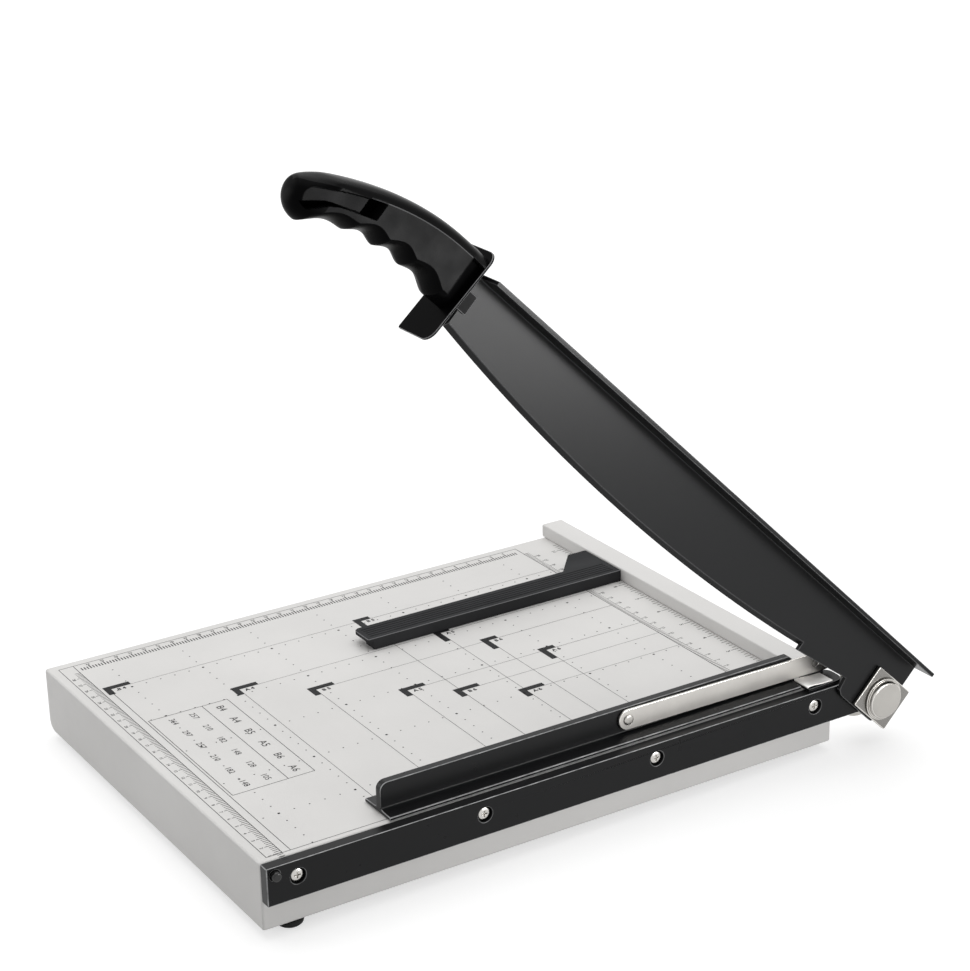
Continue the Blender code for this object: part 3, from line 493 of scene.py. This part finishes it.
def grip_stations():
    """Yields the place along the handle, its top and bottom, and how far the butt is still open."""
    start = GUARD_NEAR + GUARD_THICK / 2
    count = round((BUTT_FROM - start) / STATION_GAP)
    for step in range(count + 1):
        along = start + (BUTT_FROM - start) * step / count
        yield along, grip_top(along), grip_bottom(along), 1.0
    middle = (grip_top(BUTT_FROM) + grip_bottom(BUTT_FROM)) / 2
    for step in range(1, BUTT_STEPS + 1):
        turn = math.radians(BUTT_TURN) * step / BUTT_STEPS
        closed = math.cos(turn)
        along = BUTT_FROM + BUTT_LONG * math.sin(turn)
        centre = middle - BUTT_DROP * math.sin(turn)
        high = centre + (grip_top(along) - centre) * closed**BUTT_TOP_POWER
        yield along, high, centre + (grip_bottom(along) - centre) * closed**BUTT_LOW_POWER, closed


def between(points, along):
    """Value at a place on a line through points."""
    for (near, near_value), (far, far_value) in zip(points, points[1:]):
        if along <= far:
            part = max(0.0, (along - near) / (far - near))
            return near_value + (far_value - near_value) * part
    return points[-1][1]


def pocket(along, rise):
    """How far the side is sunk to the pocket's floor, 0 to 1, and the depth of slot or groove."""
    below = grip_top(along) - rise
    upper, lower = POCKET_UPPER, between(POCKET_LOWER, along)
    across = min(below - upper, lower - below)
    if along > POCKET_END:
        radius = (lower - upper) / 2
        across = radius - math.hypot(along - POCKET_END, below - (lower + upper) / 2)
    floor = smooth(min(across, along - SLOT_REACH[0]) / POCKET_WALL)
    slot = smooth(min(across, along - SLOT_REACH[0], SLOT_REACH[1] - along) / SLOT_WALL)
    inside = min(across, below - between(GROOVE_UPPER, along), along - GROOVE_UPPER[0][0])
    groove = smooth(inside / GROOVE_WALL)
    return floor, max(SLOT_SUNK * slot, GROOVE_SUNK * groove)


def grip_ring(along, top, low, closed, side):
    """Yields the points of one side of a section, from top to bottom, with the look below each."""
    half = GRIP_HALF * closed**BUTT_WIDE_POWER
    taper = NECK_TAPER * (1.0 - smooth((along - GUARD_NEAR) / (NECK_END - GUARD_NEAR)))
    neck = taper + NECK_SUNK * (1.0 - smooth((along - NECK_END + NECK_STEP) / NECK_STEP))
    proud = 1.0 - smooth((along - PANEL_FADE[0]) / (PANEL_FADE[1] - PANEL_FADE[0]))
    narrow = smooth((along - BAND_REACH[0]) / (BAND_REACH[1] - BAND_REACH[0]))
    band = (BAND_HIGH[0] + (BAND_HIGH[1] - BAND_HIGH[0]) * narrow) * closed
    under = UNDER_HIGH * closed
    crease, panel_low = top - band, low + under
    shoulder = half - taper - PANEL_PROUD * proud
    round_part = smooth((along - ROUND_REACH[0]) / (ROUND_REACH[1] - ROUND_REACH[0]))

    def rounder(out, rise):
        """Blends the section into an ellipse at the butt."""
        part = (2.0 * rise - top - low) / (top - low)
        return out + (half * math.sqrt(max(0.0, 1.0 - part * part)) - out) * round_part

    # The band above the panel is darkened as painted shade.
    for step in range(BAND_POINTS):
        turn = math.pi / 2 * (1.0 - step / (BAND_POINTS - 1))
        rise = crease + band * math.sin(turn) ** BAND_RISE_POWER
        # The chamfer under the band is lightened as a painted highlight.
        crease_highlit = step == BAND_POINTS - 1 and NECK_END < along < SLOT_REACH[1]
        out = rounder(shoulder * math.cos(turn) ** BAND_OUT_POWER, rise)
        yield out, rise, CREASE_HIGHLIGHT_LOOK if crease_highlit else BAND_SHADE_LOOK
    panel_top = crease - PANEL_CHAMFER * closed
    # Beyond the panel, at the neck and the butt, the side is darkened as painted shade.
    side_look = PANEL_LOOK if NECK_END - NECK_STEP < along < ROUND_REACH[0] else SHADE_LOOK
    for step in range(PANEL_POINTS):
        rise = panel_top + (panel_low - panel_top) * step / (PANEL_POINTS - 1)
        out, look = rounder(half - neck, rise), side_look
        if side > 0.0:
            floor, deep = pocket(along, rise)
            cut = max(0.0, out - GRIP_HALF + POCKET_SUNK) * floor
            out -= cut + deep
            # Deep in the slot and the groove the faces are nearly black, as painted shade.
            if deep > POCKET_WALL:
                look = HOLE_SHADE_LOOK
            elif cut > 0.0:
                look = PANEL_LOOK
        yield out, rise, SHADE_LOOK if step == PANEL_POINTS - 1 else look
    # The underside is darkened as painted shade.
    for step in range(1, UNDER_POINTS):
        turn = math.pi / 2 * step / (UNDER_POINTS - 1)
        rise = panel_low - under * math.sin(turn) ** UNDER_POWER
        out = (half - neck) * max(0.0, math.cos(turn)) ** UNDER_POWER
        yield rounder(out, rise), rise, SHADE_LOOK


def grip_shape():
    shape = bmesh.new()
    rings = []
    for along, top, low, closed in grip_stations():
        right = list(grip_ring(along, top, low, closed, 1.0))
        left = list(grip_ring(along, top, low, closed, -1.0))
        pairs = zip(left[1:-1], left)
        mirrored = [(-out, rise, look) for (out, rise, _), (_, _, look) in pairs]
        outline = right + mirrored[::-1]
        reach = GUARD_REACH + along
        verts = [shape.verts.new((GRIP_CENTRE + out, -reach, rise)) for out, rise, _ in outline]
        rings.append((verts, [look for _, _, look in outline]))
    lean(rings[0][0])
    for (near, looks), (far, _) in zip(rings, rings[1:]):
        for index, look in enumerate(looks):
            after = (index + 1) % len(near)
            face = shape.faces.new((near[index], near[after], far[after], far[index]))
            face.material_index = look
    for verts, _ in (rings[0], rings[-1]):
        # Both ends are darkened as painted shade.
        shape.faces.new(verts).material_index = SHADE_LOOK
    return shaded(shape)


def lean(verts):
    """Tilts points near the guard to its slant."""
    for vert in verts:
        vert.co.y += GUARD_LEAN * vert.co.z


def shaded(shape):
    """Smooth shading with sharp edges over an angle, and all faces turned outwards."""
    bmesh.ops.recalc_face_normals(shape, faces=shape.faces)
    for face in shape.faces:
        face.smooth = True
    for edge in shape.edges:
        edge.smooth = edge.is_boundary or edge.calc_face_angle(0.0) < math.radians(SHARP_ANGLE)
    return shape


def rounded(corners, steps):
    """Points of a polygon with arcs at its corners. Each corner is (x, y, radius)."""
    points = []
    for index, (x, y, radius) in enumerate(corners):
        here = Vector((x, y))
        before = (Vector(corners[index - 1][:2]) - here).normalized()
        after = (Vector(corners[(index + 1) % len(corners)][:2]) - here).normalized()
        if radius <= 0.0:
            points.append(here)
            continue
        angle = before.angle(after)
        centre = here + (before + after).normalized() * (radius / math.sin(angle / 2))
        first = here + before * (radius / math.tan(angle / 2)) - centre
        last = here + after * (radius / math.tan(angle / 2)) - centre
        sweep = first.angle_signed(last)
        turns = [Matrix.Rotation(-sweep * step / steps, 2) for step in range(steps + 1)]
        points += [centre + turn @ first for turn in turns]
    return points


def slab(shape, points, axis, low, high):
    """Adds a closed prism of an outline between two places on an axis."""
    def at(point, level):
        values = list(point)
        values.insert(axis, level)
        return shape.verts.new(values)

    bottom = [at(point, low) for point in points]
    top = [at(point, high) for point in points]
    made = [shape.faces.new(bottom), shape.faces.new(top)]
    for index in range(len(points)):
        after = (index + 1) % len(points)
        made.append(shape.faces.new((bottom[index], bottom[after], top[after], top[index])))
    return made


def guard_shape():
    shape = bmesh.new()
    corners = (
        (GUARD_INNER, GUARD_LOW, GUARD_INNER_ROUND),
        (GUARD_OUTER, GUARD_LOW, GUARD_ROUND),
        (GUARD_OUTER, GUARD_HIGH, GUARD_ROUND),
        (GUARD_INNER, GUARD_HIGH, GUARD_INNER_ROUND),
    )
    near = -GUARD_REACH - GUARD_NEAR
    slab(shape, rounded(corners, GUARD_ROUND_STEPS), 1, near - GUARD_THICK, near)
    lean(shape.verts)
    tab = (
        (-GUARD_REACH - TAB_REACH[1], TAB_RISE[0], 0.0),
        (-GUARD_REACH - TAB_REACH[0], TAB_RISE[0], TAB_ROUND),
        (-GUARD_REACH - TAB_REACH[0], TAB_RISE[1], TAB_ROUND),
        (-GUARD_REACH - TAB_REACH[1], TAB_RISE[1], 0.0),
    )
    for face in slab(shape, rounded(tab, TAB_ROUND_STEPS), 0, *TAB_FACES):
        face.material_index = TAB_LOOK
    return shaded(shape)


# Handle finishes: plain, crease with painted highlight, then band, sides and holes with painted
# shade.
GRIP_LOOKS = (PLASTIC, CREASE_HIGHLIGHT_PLASTIC, BAND_SHADE_PLASTIC, SHADE_PLASTIC, HOLE_SHADE_PLASTIC)
grip = mesh_piece("handle_grip", grip_shape(), ARM, *GRIP_LOOKS)
finish_piece(grip, "arm", 0.0, ("handle",))
# The guard's body is darkened as painted shade, its rounded edges are lightened as painted
# highlight, and its tab is plain plastic.
guard = mesh_piece("handle_guard", guard_shape(), ARM, SHADE_PLASTIC, PLASTIC, GUARD_EDGE_HIGHLIGHT_PLASTIC)
finish_piece(guard, "arm", GUARD_EDGE)

# Printed table
PRINT_LIFT = 0.05
LINE = 0.4
FINE_LINE = 0.3
TICK = 0.45
SIDE_TICK = 0.75
TICK_STEP = 2.0
TICK_LONG = 5.6
TICK_SHORT = 3.8
TICKS_PER_NUMBER = 5
FRONT_TICKS = range(1, 145)
REAR_TICKS = range(18, 145)
LEFT_TICKS = range(16, 184)
INCH = 25.4
INCH_PARTS = 8
INCH_TICKS = range(12, 92)
INCH_TICK_LONG = 6.0
INCH_TICK_HALF = 4.4
INCH_TICK_SHORT = 3.0
NUMBER_STEP = 10.0
NUMBER_SIZE = 2.0
NUMBER_BOLD = 0.04
NUMBER_INSET = 2.4
REAR_NUMBER_RISE = 7.0
FRONT_NUMBERS = range(1, 29)
REAR_NUMBERS = range(4, 29)
LEFT_NUMBERS = range(4, 37)
INCH_NUMBERS = range(2, 12)
INCH_NUMBER_SIZE = 2.8
INCH_NUMBER_BOLD = 0.06
INCH_NUMBER_Y = -9.2
FRAME_LEFT = -302.3
FRAME_RIGHT = -12.0
FRAME_RIGHT_REAR = -300.0
FRAME_FRONT = -380.6
RULER_FRONT = -370.6
BORDER_FRONT = -365.4
BORDER_LEFT = -252.0
RULER_LEFT = -293.0
SCALE_REAR = -29.0
SCALE_REAR_RIGHT = -38.0
FENCE_GAP = 0.7
GRID_STEP = 50.0
DOT_STEP = 10.0
DOT_SIDES = 8
DOT_RADIUS = 0.5
CROSSING_RADIUS = 0.85
DOT_FIRST_ROW = 3
DOT_GAP_LEFT = 4.0
DOT_GAP_FRONT = 3.0
GRID_X = -2.7
GRID_Y = -1.4
MARK_THICK = 4.3
MARK_LONG = 18.0
MARK_SHORT = 12.0
LABEL_SIZE = 3.0
LABEL_BOLD = 0.16
LABEL_OFFSET = (3.0, 6.0)
SIDEWAYS = 90.0
CAPITAL_SHARE = 0.7
LETTER_STEPS = 2
BOX_X = (-202.0, -86.8)
BOX_Y = (-363.6, -309.5)
BOX_DIVIDER = -327.1
BOX_HEAD_SIZE = 5.0
BOX_TEXT_SIZE = 4.0
BOX_FIRST_ROW = 10.0
BOX_ROW_STEP = 14.0
SHEETS = (
    ("B4", 257.0, 364.0),
    ("A4", 210.0, 297.0),
    ("B5", 182.0, 257.0),
    ("A5", 148.0, 210.0),
    ("B6", 128.0, 182.0),
    ("A6", 105.0, 148.0),
)
SIDEWAYS_SHEETS = ("B5", "A5", "B6", "A6")


def strip(shape, x_range, y_range):
    """Flat rectangle on the table."""
    corners = (
        (x_range[0], y_range[0]),
        (x_range[1], y_range[0]),
        (x_range[1], y_range[1]),
        (x_range[0], y_range[1]),
    )
    shape.faces.new([shape.verts.new((x, y, PRINT_LIFT)) for x, y in corners])


def along_x(shape, y, x_range, width):
    strip(shape, x_range, (y - width / 2, y + width / 2))


def along_y(shape, x, y_range, width):
    strip(shape, (x - width / 2, x + width / 2), y_range)


def dot(shape, x, y, radius):
    turns = [math.tau * step / DOT_SIDES for step in range(DOT_SIDES)]
    ring = [(x + radius * math.cos(turn), y + radius * math.sin(turn)) for turn in turns]
    shape.faces.new([shape.verts.new((*point, PRINT_LIFT)) for point in ring])


def letters(shape, words, size, centre, turn, bold=0.0):
    """Adds flat text of a height, centred on a point and turned from the X axis."""
    curve = bpy.data.curves.new("letters", "FONT")
    curve.body = words
    curve.size = size / CAPITAL_SHARE
    curve.align_x = "CENTER"
    curve.align_y = "CENTER"
    curve.resolution_u = LETTER_STEPS
    curve.offset = bold
    holder = bpy.data.objects.new("letters", curve)
    graph = bpy.context.evaluated_depsgraph_get()
    bpy.context.scene.collection.objects.link(holder)
    bpy.context.view_layer.update()
    flat = bpy.data.meshes.new_from_object(holder.evaluated_get(graph))
    spin = Matrix.Translation((centre[0], centre[1], PRINT_LIFT))
    flat.transform(spin @ Matrix.Rotation(math.radians(turn), 4, "Z"))
    shape.from_mesh(flat)
    bpy.data.meshes.remove(flat)
    bpy.data.objects.remove(holder)
    bpy.data.curves.remove(curve)


def tick_length(index):
    return TICK_LONG if index % TICKS_PER_NUMBER == 0 else TICK_SHORT


def print_frame():
    shape = bmesh.new()
    along_x(shape, FRAME_FRONT, (FRAME_LEFT, FRAME_RIGHT), LINE)
    along_x(shape, RULER_FRONT, (FRAME_LEFT, FRAME_RIGHT), LINE)
    along_x(shape, BORDER_FRONT, (BORDER_LEFT, FRAME_RIGHT), LINE)
    along_x(shape, SCALE_REAR, (FRAME_LEFT, SCALE_REAR_RIGHT), LINE)
    along_y(shape, FRAME_LEFT, (FRAME_FRONT, SCALE_REAR), LINE)
    along_y(shape, FRAME_RIGHT, (FRAME_FRONT, FRAME_RIGHT_REAR), LINE)
    return shape


def print_rulers():
    """Scales in 2 mm steps at the front, left and rear, and in eighths of an inch at the fence."""
    shape = bmesh.new()
    for index in FRONT_TICKS:
        x = GRID_X - TICK_STEP * index
        along_y(shape, x, (RULER_FRONT - tick_length(index), RULER_FRONT), TICK)
        if index in REAR_TICKS:
            along_y(shape, x, (SCALE_REAR, SCALE_REAR + tick_length(index)), TICK)
    for index in LEFT_TICKS:
        y = GRID_Y - TICK_STEP * index
        along_x(shape, y, (RULER_LEFT - tick_length(index), RULER_LEFT), SIDE_TICK)
    for index in INCH_TICKS:
        long = INCH_TICK_HALF if index % (INCH_PARTS // 2) == 0 else INCH_TICK_SHORT
        if index % INCH_PARTS == 0:
            long = INCH_TICK_LONG
        x = GRID_X - INCH / INCH_PARTS * index
        along_y(shape, x, (-FENCE_GAP - long, -FENCE_GAP), TICK)
    return shape


def print_numbers():
    shape = bmesh.new()
    for index in FRONT_NUMBERS:
        x = GRID_X - NUMBER_STEP * index
        front = (x, FRAME_FRONT + NUMBER_INSET)
        letters(shape, str(index), NUMBER_SIZE, front, 0.0, NUMBER_BOLD)
        if index in REAR_NUMBERS:
            rear = (x, SCALE_REAR + REAR_NUMBER_RISE)
            letters(shape, str(index), NUMBER_SIZE, rear, 0.0, NUMBER_BOLD)
    for index in LEFT_NUMBERS:
        left = (FRAME_LEFT + NUMBER_INSET, GRID_Y - NUMBER_STEP * index)
        letters(shape, str(index), NUMBER_SIZE, left, SIDEWAYS, NUMBER_BOLD)
    for index in INCH_NUMBERS:
        fence = (GRID_X - INCH * index, INCH_NUMBER_Y)
        letters(shape, str(index), INCH_NUMBER_SIZE, fence, 0.0, INCH_NUMBER_BOLD)
    return shape


def print_marks():
    shape = bmesh.new()
    for name, short, long in SHEETS:
        for x, y in sheet_corners(name, short, long):
            upright = y == -long
            across, up = (MARK_SHORT, MARK_LONG) if upright else (MARK_LONG, MARK_SHORT)
            strip(shape, (x - MARK_THICK, x), (y - MARK_THICK, y + up - MARK_THICK))
            strip(shape, (x, x + across - MARK_THICK), (y - MARK_THICK, y))
            centre = (x + LABEL_OFFSET[0], y + LABEL_OFFSET[1])
            letters(shape, " ".join(name), LABEL_SIZE, centre, SIDEWAYS, LABEL_BOLD)
    return shape


def sheet_corners(name, short, long):
    """Yields the corner of the upright sheet and, for some sizes, of the sideways one."""
    yield -short, -long
    if name in SIDEWAYS_SHEETS:
        yield -long, -short


def print_table():
    """Plain table of sheet sizes in millimetres."""
    shape = bmesh.new()
    for y in (BOX_Y[0], BOX_DIVIDER, BOX_Y[1]):
        along_x(shape, y, BOX_X, LINE)
    for x in BOX_X:
        along_y(shape, x, BOX_Y, LINE)
    column = (BOX_X[1] - BOX_X[0]) / len(SHEETS)
    for index, (name, short, long) in enumerate(SHEETS):
        x = BOX_X[0] + column * (index + 0.5)
        letters(shape, name, BOX_HEAD_SIZE, (x, (BOX_DIVIDER + BOX_Y[1]) / 2), 0.0)
        for row, words in enumerate((f"{short:.0f}", f"{long:.0f}")):
            y = BOX_DIVIDER - BOX_FIRST_ROW - BOX_ROW_STEP * row
            letters(shape, words, BOX_TEXT_SIZE, (x, y), 0.0)
    return shape


def print_sheets():
    """Thin lines from the corner marks to the fence. print_edges has those to the cutting edge."""
    shape = bmesh.new()
    for name, short, long in SHEETS:
        for x, y in sheet_corners(name, short, long):
            along_y(shape, x, (y, SCALE_REAR), FINE_LINE)
    return shape


def print_edges():
    shape = bmesh.new()
    for name, short, long in SHEETS:
        for x, y in sheet_corners(name, short, long):
            if y > BORDER_FRONT + MARK_THICK:
                along_x(shape, y, (x, FRAME_RIGHT), FINE_LINE)
    return shape


def print_dots():
    shape = bmesh.new()
    columns = int(-RULER_LEFT // DOT_STEP)
    rows = int(-BORDER_FRONT // DOT_STEP)
    per_cell = round(GRID_STEP / DOT_STEP)
    for column in range(1, columns + 1):
        for row in range(DOT_FIRST_ROW, rows + 1):
            on_column = column % per_cell == 0
            on_row = row % per_cell == 0
            x = GRID_X - column * DOT_STEP
            y = GRID_Y - row * DOT_STEP
            inside = x > RULER_LEFT + DOT_GAP_LEFT and y > BORDER_FRONT + DOT_GAP_FRONT
            if inside and (on_column or on_row):
                dot(shape, x, y, CROSSING_RADIUS if on_column and on_row else DOT_RADIUS)
    return shape


PRINTS = (
    ("print_frame", print_frame, INK),
    ("print_rulers", print_rulers, INK),
    ("print_numbers", print_numbers, INK),
    ("print_marks", print_marks, INK),
    ("print_sheets", print_sheets, FINE_INK),
    ("print_edges", print_edges, INK),
    ("print_table", print_table, INK),
    ("print_dots", print_dots, INK),
)
for name, build, look in PRINTS:
    finish_piece(mesh_piece(name, build(), TABLE, look), "base")

# Studio
FLOOR_SIZE = 12.0
FLOOR_ROUGH = 0.9
FLOOR_NOISE_SIZE = 400.0
FLOOR_SHADES = ((0.50, 0.50, 0.50), (0.53, 0.53, 0.53))
WHITE = (1.0, 1.0, 1.0, 1.0)
AMBIENT = 0.42
FLOOR_LIFT = (0.62, 0.82)
FLOOR_LIFT_REACH = (0.8, 3.0)

floor_shape = bmesh.new()
bmesh.ops.create_grid(floor_shape, x_segments=1, y_segments=1, size=FLOOR_SIZE / 2)
floor_look, ground, floor_shader = new_material("pale_floor")
floor_shader.inputs["Roughness"].default_value = FLOOR_ROUGH
floor_shader.inputs["Specular IOR Level"].default_value = 0.0
floor_cloud = spread(ground, noise(ground, place(ground), FLOOR_NOISE_SIZE), 0.0, 1.0)
floor_tone = blend_colour(ground, floor_cloud, *(rgba(shade) for shade in FLOOR_SHADES))
connect(ground, floor_shader, "Base Color", floor_tone)
floor_path = add(ground, "ShaderNodeLightPath").outputs
floor_seen = calculate(ground, "MAXIMUM", floor_path["Is Camera Ray"], floor_path["Is Glossy Ray"])
floor_reach = add(ground, "ShaderNodeVectorMath", {0: place(ground)}, operation="LENGTH")
floor_lift = spread(ground, floor_reach.outputs["Value"], *FLOOR_LIFT, *FLOOR_LIFT_REACH)
floor_glow = calculate(ground, "MULTIPLY", floor_seen, floor_lift)
floor_shader.inputs["Emission Color"].default_value = WHITE
connect(ground, floor_shader, "Emission Strength", floor_glow)
floor = mesh_piece("floor", floor_shape, Matrix.Identity(4), floor_look)

world = bpy.data.worlds.new("studio")
bpy.context.scene.world = world
world.use_nodes = True
sky = world.node_tree
sky.nodes.clear()
path = add(sky, "ShaderNodeLightPath").outputs
seen = calculate(sky, "MAXIMUM", path["Is Camera Ray"], path["Is Glossy Ray"])
seen = calculate(sky, "MAXIMUM", seen, path["Is Transmission Ray"])
dim = add(sky, "ShaderNodeBackground", {"Color": WHITE, "Strength": AMBIENT}).outputs[0]
white = add(sky, "ShaderNodeBackground", {"Color": WHITE, "Strength": 1.0}).outputs[0]
chosen = add(sky, "ShaderNodeMixShader", {0: seen, 1: dim, 2: white})
add(sky, "ShaderNodeOutputWorld", {"Surface": chosen.outputs[0]})


def soft_light(name, at, aim, size, power, beam):
    lamp = bpy.data.lights.new(name, "AREA")
    lamp.shape = "RECTANGLE"
    lamp.size, lamp.size_y = size
    lamp.energy = power
    lamp.spread = math.radians(beam)
    made = bpy.data.objects.new(name, lamp)
    bpy.context.scene.collection.objects.link(made)
    made.location = at
    made.visible_camera = False
    made.rotation_euler = (Vector(aim) - Vector(at)).to_track_quat("-Z", "Y").to_euler()


# Lamps: place and aim in metres, size, power in watts and width of the beam in degrees
SOFTBOXES = (
    ("top_softbox", (-0.3, 0.4, 2.4), (0.0, 0.0, 0.0), (3.2, 3.2), 46.0, 180.0),
    ("right_softbox", (0.92, 0.43, 0.13), (0.147, 0.0, 0.22), (0.45, 0.24), 0.6, 60.0),
    ("left_softbox", (-1.3, -1.5, 0.7), (0.0, -0.1, 0.05), (1.2, 1.0), 6.0, 180.0),
)
for softbox in SOFTBOXES:
    soft_light(*softbox)

# Camera
camera = bpy.data.objects.new("camera", bpy.data.cameras.new("camera"))
bpy.context.scene.collection.objects.link(camera)
bpy.context.scene.camera = camera
camera.data.sensor_fit = "HORIZONTAL"
camera.data.sensor_width = SENSOR
camera.data.lens = CAMERA_FOCAL * SENSOR / IMAGE_WIDTH
camera.location = TABLE @ Vector(CAMERA_AT)
look_line = Vector(CAMERA_AIM) - Vector(CAMERA_AT)
camera.rotation_mode = "QUATERNION"
facing = look_line.to_track_quat("-Z", "Y").to_matrix().to_4x4()
roll = Matrix.Rotation(math.radians(CAMERA_ROLL), 4, "Z")
camera.rotation_quaternion = (facing @ roll).to_quaternion()
bpy.context.scene.view_settings.view_transform = "Standard"
